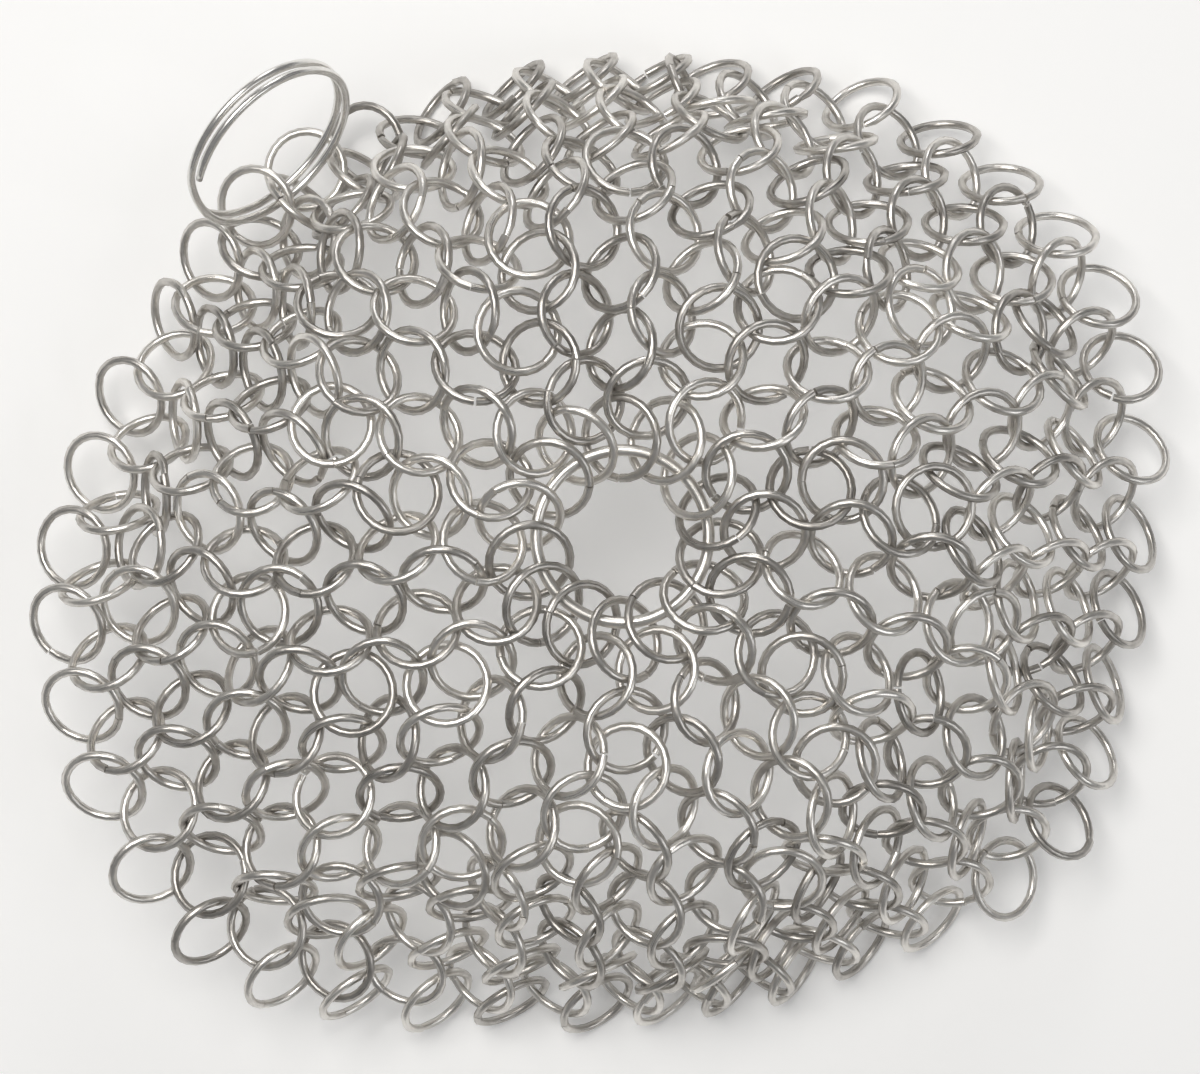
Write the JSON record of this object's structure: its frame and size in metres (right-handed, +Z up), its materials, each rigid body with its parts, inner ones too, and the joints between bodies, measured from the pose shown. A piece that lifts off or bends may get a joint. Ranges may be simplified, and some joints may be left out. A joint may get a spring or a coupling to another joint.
{
  "type": "chainmail scrubber",
  "caption": "Round pot scrubber of linked steel wire rings around a larger centre ring, draped in a low dome, with a split ring at its edge to hang it by.",
  "frame": {"origin": "on the floor under the middle of the part's bounding box", "axes": "+Z up out of the mail towards the viewer, +X to the right and +Y to the top of the picture"},
  "size_m": [0.1414, 0.1236, 0.0369],
  "materials": {
    "drawn_steel": "satin",
    "bright_steel": "polished"
  },
  "bodies": {
    "mail": {"mail_sector_1": "drawn_steel", "mail_sector_2": "drawn_steel", "mail_sector_3": "drawn_steel", "mail_sector_4": "drawn_steel", "mail_sector_5": "drawn_steel", "mail_sector_6": "drawn_steel", "mail_sector_7": "drawn_steel", "edge_ring_06": "drawn_steel", "edge_ring_07": "drawn_steel"},
    "centre_ring": {"centre_ring": "bright_steel"},
    "edge_ring_01": {"edge_ring_01": "drawn_steel"},
    "edge_ring_02": {"edge_ring_02": "drawn_steel"},
    "edge_ring_03": {"edge_ring_03": "drawn_steel"},
    "edge_ring_04": {"edge_ring_04": "drawn_steel"},
    "edge_ring_05": {"edge_ring_05": "drawn_steel"},
    "edge_ring_08": {"edge_ring_08": "drawn_steel"},
    "edge_ring_09": {"edge_ring_09": "drawn_steel"},
    "edge_ring_10": {"edge_ring_10": "drawn_steel"},
    "edge_ring_11": {"edge_ring_11": "drawn_steel"},
    "edge_ring_12": {"edge_ring_12": "drawn_steel"},
    "edge_ring_13": {"edge_ring_13": "drawn_steel"},
    "edge_ring_14": {"edge_ring_14": "drawn_steel"},
    "edge_ring_15": {"edge_ring_15": "drawn_steel"},
    "edge_ring_16": {"edge_ring_16": "drawn_steel"},
    "edge_ring_17": {"edge_ring_17": "drawn_steel"},
    "edge_ring_18": {"edge_ring_18": "drawn_steel"},
    "edge_ring_19": {"edge_ring_19": "drawn_steel"},
    "edge_ring_20": {"edge_ring_20": "drawn_steel"},
    "edge_ring_21": {"edge_ring_21": "drawn_steel"},
    "edge_ring_22": {"edge_ring_22": "drawn_steel"},
    "edge_ring_23": {"edge_ring_23": "drawn_steel"},
    "edge_ring_24": {"edge_ring_24": "drawn_steel"},
    "edge_ring_25": {"edge_ring_25": "drawn_steel"},
    "edge_ring_26": {"edge_ring_26": "drawn_steel"},
    "edge_ring_27": {"edge_ring_27": "drawn_steel"},
    "edge_ring_28": {"edge_ring_28": "drawn_steel"},
    "edge_ring_29": {"edge_ring_29": "drawn_steel"},
    "edge_ring_30": {"edge_ring_30": "drawn_steel"},
    "edge_ring_31": {"edge_ring_31": "drawn_steel"},
    "edge_ring_32": {"edge_ring_32": "drawn_steel"},
    "edge_ring_33": {"edge_ring_33": "drawn_steel"},
    "edge_ring_34": {"edge_ring_34": "drawn_steel"},
    "edge_ring_35": {"edge_ring_35": "drawn_steel"},
    "edge_ring_36": {"edge_ring_36": "drawn_steel"},
    "edge_ring_37": {"edge_ring_37": "drawn_steel"},
    "edge_ring_38": {"edge_ring_38": "drawn_steel"},
    "edge_ring_39": {"edge_ring_39": "drawn_steel"},
    "edge_ring_40": {"edge_ring_40": "drawn_steel"},
    "edge_ring_41": {"edge_ring_41": "drawn_steel"},
    "edge_ring_42": {"edge_ring_42": "drawn_steel"},
    "split_ring": {"split_ring": "bright_steel"}
  },
  "joints": [
    {"name": "centre_ring_slide_round", "type": "hinge", "parent": "mail", "child": "centre_ring", "pos_m": [0.00213, 0.00086, 0.03207], "axis": [0, 0, 1], "continuous": true},
    {"name": "edge_ring_01_flip", "type": "hinge", "parent": "mail", "child": "edge_ring_01", "pos_m": [0.00628, 0.05913, 0.00248], "axis": [-0.8729, -0.4788, -0.0938], "range_deg": [-1.6, 4]},
    {"name": "edge_ring_02_flip", "type": "hinge", "parent": "mail", "child": "edge_ring_02", "pos_m": [-0.00351, 0.05654, 0.00601], "axis": [-0.5565, -0.148, -0.8176], "range_deg": [-5.6, 2.4]},
    {"name": "edge_ring_03_flip", "type": "hinge", "parent": "mail", "child": "edge_ring_03", "pos_m": [-0.01222, 0.05549, 0.00567], "axis": [-0.5322, -0.1708, -0.8292], "range_deg": [-4, 3.2]},
    {"name": "edge_ring_04_flip", "type": "hinge", "parent": "mail", "child": "edge_ring_04", "pos_m": [-0.02085, 0.05264, 0.0052], "axis": [-0.6125, -0.1319, -0.7794], "range_deg": [-4.8, 8.8]},
    {"name": "edge_ring_05_flip", "type": "hinge", "parent": "mail", "child": "edge_ring_05", "pos_m": [-0.02936, 0.0496, 0.00557], "axis": [-0.9065, -0.0078, -0.4221], "range_deg": [-20, 7.2]},
    {"name": "edge_ring_08_flip", "type": "hinge", "parent": "mail", "child": "edge_ring_08", "pos_m": [-0.04772, 0.03311, 0.01048], "axis": [-0.7429, -0.1143, -0.6595], "range_deg": [-4, 9.6]},
    {"name": "edge_ring_09_flip", "type": "hinge", "parent": "mail", "child": "edge_ring_09", "pos_m": [-0.05265, 0.02589, 0.00913], "axis": [-0.5194, -0.1389, -0.8432], "range_deg": [-4, 8.8]},
    {"name": "edge_ring_10_flip", "type": "hinge", "parent": "mail", "child": "edge_ring_10", "pos_m": [-0.05698, 0.01608, 0.00798], "axis": [-0.5566, -0.632, -0.5392], "range_deg": [-10.4, 2.4]},
    {"name": "edge_ring_11_flip", "type": "hinge", "parent": "mail", "child": "edge_ring_11", "pos_m": [-0.06055, 0.00709, 0.00938], "axis": [-0.5576, -0.6848, -0.4692], "range_deg": [-12, 11.2]},
    {"name": "edge_ring_12_flip", "type": "hinge", "parent": "mail", "child": "edge_ring_12", "pos_m": [-0.0631, -0.00161, 0.01319], "axis": [-0.4533, -0.848, -0.2745], "range_deg": [-12.8, 9.6]},
    {"name": "edge_ring_13_flip", "type": "hinge", "parent": "mail", "child": "edge_ring_13", "pos_m": [-0.06284, -0.01057, 0.01717], "axis": [-0.1744, -0.902, -0.395], "range_deg": [-12, 12.8]},
    {"name": "edge_ring_14_flip", "type": "hinge", "parent": "mail", "child": "edge_ring_14", "pos_m": [-0.06065, -0.02031, 0.01867], "axis": [-0.2078, -0.8405, -0.5004], "range_deg": [-12.8, 10.4]},
    {"name": "edge_ring_15_flip", "type": "hinge", "parent": "mail", "child": "edge_ring_15", "pos_m": [-0.05747, -0.0299, 0.01923], "axis": [-0.0613, -0.814, -0.5776], "range_deg": [-11.2, 8.8]},
    {"name": "edge_ring_16_flip", "type": "hinge", "parent": "mail", "child": "edge_ring_16", "pos_m": [-0.05191, -0.03893, 0.01819], "axis": [0.0801, -0.8315, -0.5497], "range_deg": [-5.6, 7.2]},
    {"name": "edge_ring_17_flip", "type": "hinge", "parent": "mail", "child": "edge_ring_17", "pos_m": [-0.04538, -0.04619, 0.01599], "axis": [0.1156, -0.7059, -0.6988], "range_deg": [-9.6, 13.6]},
    {"name": "edge_ring_18_flip", "type": "hinge", "parent": "mail", "child": "edge_ring_18", "pos_m": [-0.03719, -0.05133, 0.0129], "axis": [0.2787, -0.5972, -0.7521], "range_deg": [-9.6, 7.2]},
    {"name": "edge_ring_19_flip", "type": "hinge", "parent": "mail", "child": "edge_ring_19", "pos_m": [-0.02863, -0.05365, 0.01006], "axis": [0.3304, -0.2747, -0.903], "range_deg": [-9.6, 9.6]},
    {"name": "edge_ring_20_flip", "type": "hinge", "parent": "mail", "child": "edge_ring_20", "pos_m": [-0.01899, -0.05454, 0.0068], "axis": [0.5007, -0.2417, -0.8312], "range_deg": [-15.2, 3.2]},
    {"name": "edge_ring_21_flip", "type": "hinge", "parent": "mail", "child": "edge_ring_21", "pos_m": [-0.0099, -0.05561, 0.00583], "axis": [0.5702, -0.1263, -0.8118], "range_deg": [-11.2, 6.4]},
    {"name": "edge_ring_22_flip", "type": "hinge", "parent": "mail", "child": "edge_ring_22", "pos_m": [0.00014, -0.05606, 0.00521], "axis": [0.5886, -0.1956, -0.7844], "range_deg": [-20, 4.8]},
    {"name": "edge_ring_23_flip", "type": "hinge", "parent": "mail", "child": "edge_ring_23", "pos_m": [0.0089, -0.0552, 0.00498], "axis": [0.6119, -0.0619, -0.7885], "range_deg": [-8.8, 4]},
    {"name": "edge_ring_24_flip", "type": "hinge", "parent": "mail", "child": "edge_ring_24", "pos_m": [0.01637, -0.05406, 0.00508], "axis": [0.4661, 0.0779, -0.8813], "range_deg": [-7.2, 4.8]},
    {"name": "edge_ring_25_flip", "type": "hinge", "parent": "mail", "child": "edge_ring_25", "pos_m": [0.02458, -0.0517, 0.00617], "axis": [0.5532, 0.322, -0.7683], "range_deg": [-15.2, 3.2]},
    {"name": "edge_ring_26_flip", "type": "hinge", "parent": "mail", "child": "edge_ring_26", "pos_m": [0.03266, -0.04881, 0.00559], "axis": [0.6457, 0.2836, -0.709], "range_deg": [-10.4, 12.8]},
    {"name": "edge_ring_27_flip", "type": "hinge", "parent": "mail", "child": "edge_ring_27", "pos_m": [0.04148, -0.04494, 0.00679], "axis": [0.7756, 0.3264, -0.5404], "range_deg": [-20, 4.8]},
    {"name": "edge_ring_28_flip", "type": "hinge", "parent": "mail", "child": "edge_ring_28", "pos_m": [0.04911, -0.0393, 0.00787], "axis": [0.7697, 0.3612, -0.5265], "range_deg": [-4.8, 19.2]},
    {"name": "edge_ring_29_flip", "type": "hinge", "parent": "mail", "child": "edge_ring_29", "pos_m": [0.05522, -0.03261, 0.00819], "axis": [0.6483, 0.3552, -0.6735], "range_deg": [-12.8, 20]},
    {"name": "edge_ring_30_flip", "type": "hinge", "parent": "mail", "child": "edge_ring_30", "pos_m": [0.05823, -0.02413, 0.00738], "axis": [0.3876, 0.4898, -0.7809], "range_deg": [-12.8, 11.2]},
    {"name": "edge_ring_31_flip", "type": "hinge", "parent": "mail", "child": "edge_ring_31", "pos_m": [0.06061, -0.0155, 0.00801], "axis": [0.1759, 0.6754, -0.7162], "range_deg": [-18.4, 8.8]},
    {"name": "edge_ring_32_flip", "type": "hinge", "parent": "mail", "child": "edge_ring_32", "pos_m": [0.06228, -0.00663, 0.00798], "axis": [0.2617, 0.6992, -0.6653], "range_deg": [-12, 11.2]},
    {"name": "edge_ring_33_flip", "type": "hinge", "parent": "mail", "child": "edge_ring_33", "pos_m": [0.06355, 0.00266, 0.00872], "axis": [0.1799, 0.7476, -0.6393], "range_deg": [-16, 8]},
    {"name": "edge_ring_34_flip", "type": "hinge", "parent": "mail", "child": "edge_ring_34", "pos_m": [0.06287, 0.01264, 0.0089], "axis": [0.1639, 0.8009, -0.576], "range_deg": [-5.6, 11.2]},
    {"name": "edge_ring_35_flip", "type": "hinge", "parent": "mail", "child": "edge_ring_35", "pos_m": [0.06153, 0.02248, 0.00917], "axis": [0.2146, 0.8255, -0.5221], "range_deg": [-20, 17.6]},
    {"name": "edge_ring_36_flip", "type": "hinge", "parent": "mail", "child": "edge_ring_36", "pos_m": [0.05853, 0.03054, 0.01035], "axis": [-0.095, 0.7931, -0.6016], "range_deg": [-13.6, 11.2]},
    {"name": "edge_ring_37_flip", "type": "hinge", "parent": "mail", "child": "edge_ring_37", "pos_m": [0.05354, 0.03775, 0.01066], "axis": [-0.3387, 0.5554, -0.7595], "range_deg": [-16, 19.2]},
    {"name": "edge_ring_38_flip", "type": "hinge", "parent": "mail", "child": "edge_ring_38", "pos_m": [0.04668, 0.04394, 0.00911], "axis": [-0.3001, 0.5129, -0.8043], "range_deg": [-16, 9.6]},
    {"name": "edge_ring_39_flip", "type": "hinge", "parent": "mail", "child": "edge_ring_39", "pos_m": [0.03913, 0.04954, 0.0077], "axis": [-0.4247, 0.3933, -0.8154], "range_deg": [-20, 8]},
    {"name": "edge_ring_40_flip", "type": "hinge", "parent": "mail", "child": "edge_ring_40", "pos_m": [0.03014, 0.05318, 0.00608], "axis": [-0.506, 0.3583, -0.7846], "range_deg": [-8.8, 8.8]},
    {"name": "edge_ring_41_flip", "type": "hinge", "parent": "mail", "child": "edge_ring_41", "pos_m": [0.02095, 0.05465, 0.00513], "axis": [-0.4916, 0.1577, -0.8564], "range_deg": [-14.4, 5.6]},
    {"name": "edge_ring_42_flip", "type": "hinge", "parent": "mail", "child": "edge_ring_42", "pos_m": [0.01196, 0.05577, 0.00554], "axis": [-0.6073, 0.2543, -0.7527], "range_deg": [-12.8, 4]},
    {"name": "split_ring_swing", "type": "hinge", "parent": "mail", "child": "split_ring", "pos_m": [-0.03966, 0.04308, 0.01076], "axis": [-0.7467, -0.5778, 0.3296], "range_deg": [-20, 20]}
  ]
}
